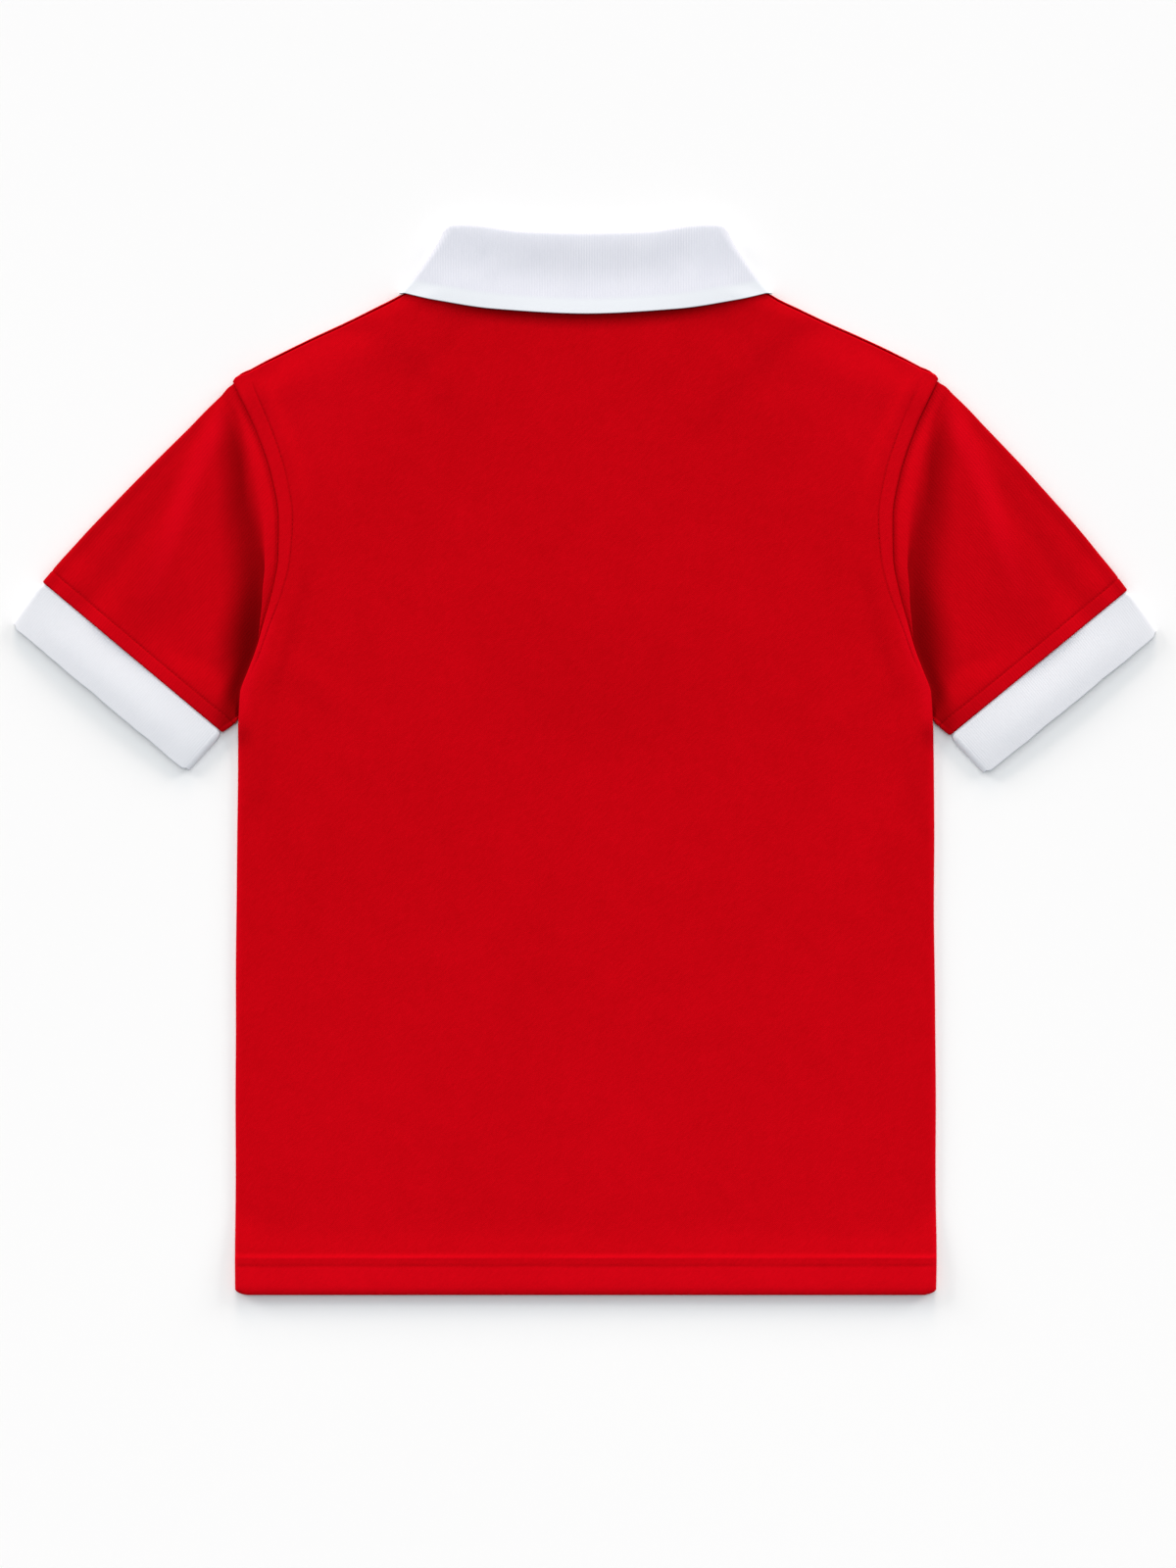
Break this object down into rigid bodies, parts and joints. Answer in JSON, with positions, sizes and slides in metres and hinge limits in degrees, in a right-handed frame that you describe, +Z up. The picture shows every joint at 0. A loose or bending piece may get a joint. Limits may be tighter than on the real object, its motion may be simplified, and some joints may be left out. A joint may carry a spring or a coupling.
{
  "type": "polo shirt",
  "caption": "Child's red short-sleeved polo shirt laid flat on its front, back up, with white rib collar and cuffs, a front placket and a plain hem.",
  "frame": {"origin": "middle of the laid-out shirt seen from above, on the surface that it lies on", "axes": "+X towards the wearer's right sleeve, +Y towards the collar, +Z up from the surface through the front and then the back"},
  "size_m": [0.6534, 0.6134, 0.0095],
  "materials": {
    "red_pique": "matte cotton pique knit",
    "white_rib": "matte cotton rib knit",
    "white_button": "semi-gloss"
  },
  "bodies": {
    "root": {"back": "red_pique", "front": "red_pique", "sleeve_left": "red_pique", "sleeve_right": "red_pique", "placket_upper": "red_pique", "placket_under": "red_pique", "collar": "white_rib", "cuff_left": "white_rib", "cuff_right": "white_rib", "button_top": "white_button", "button_middle": "white_button", "button_bottom": "white_button"}
  },
  "joints": []
}
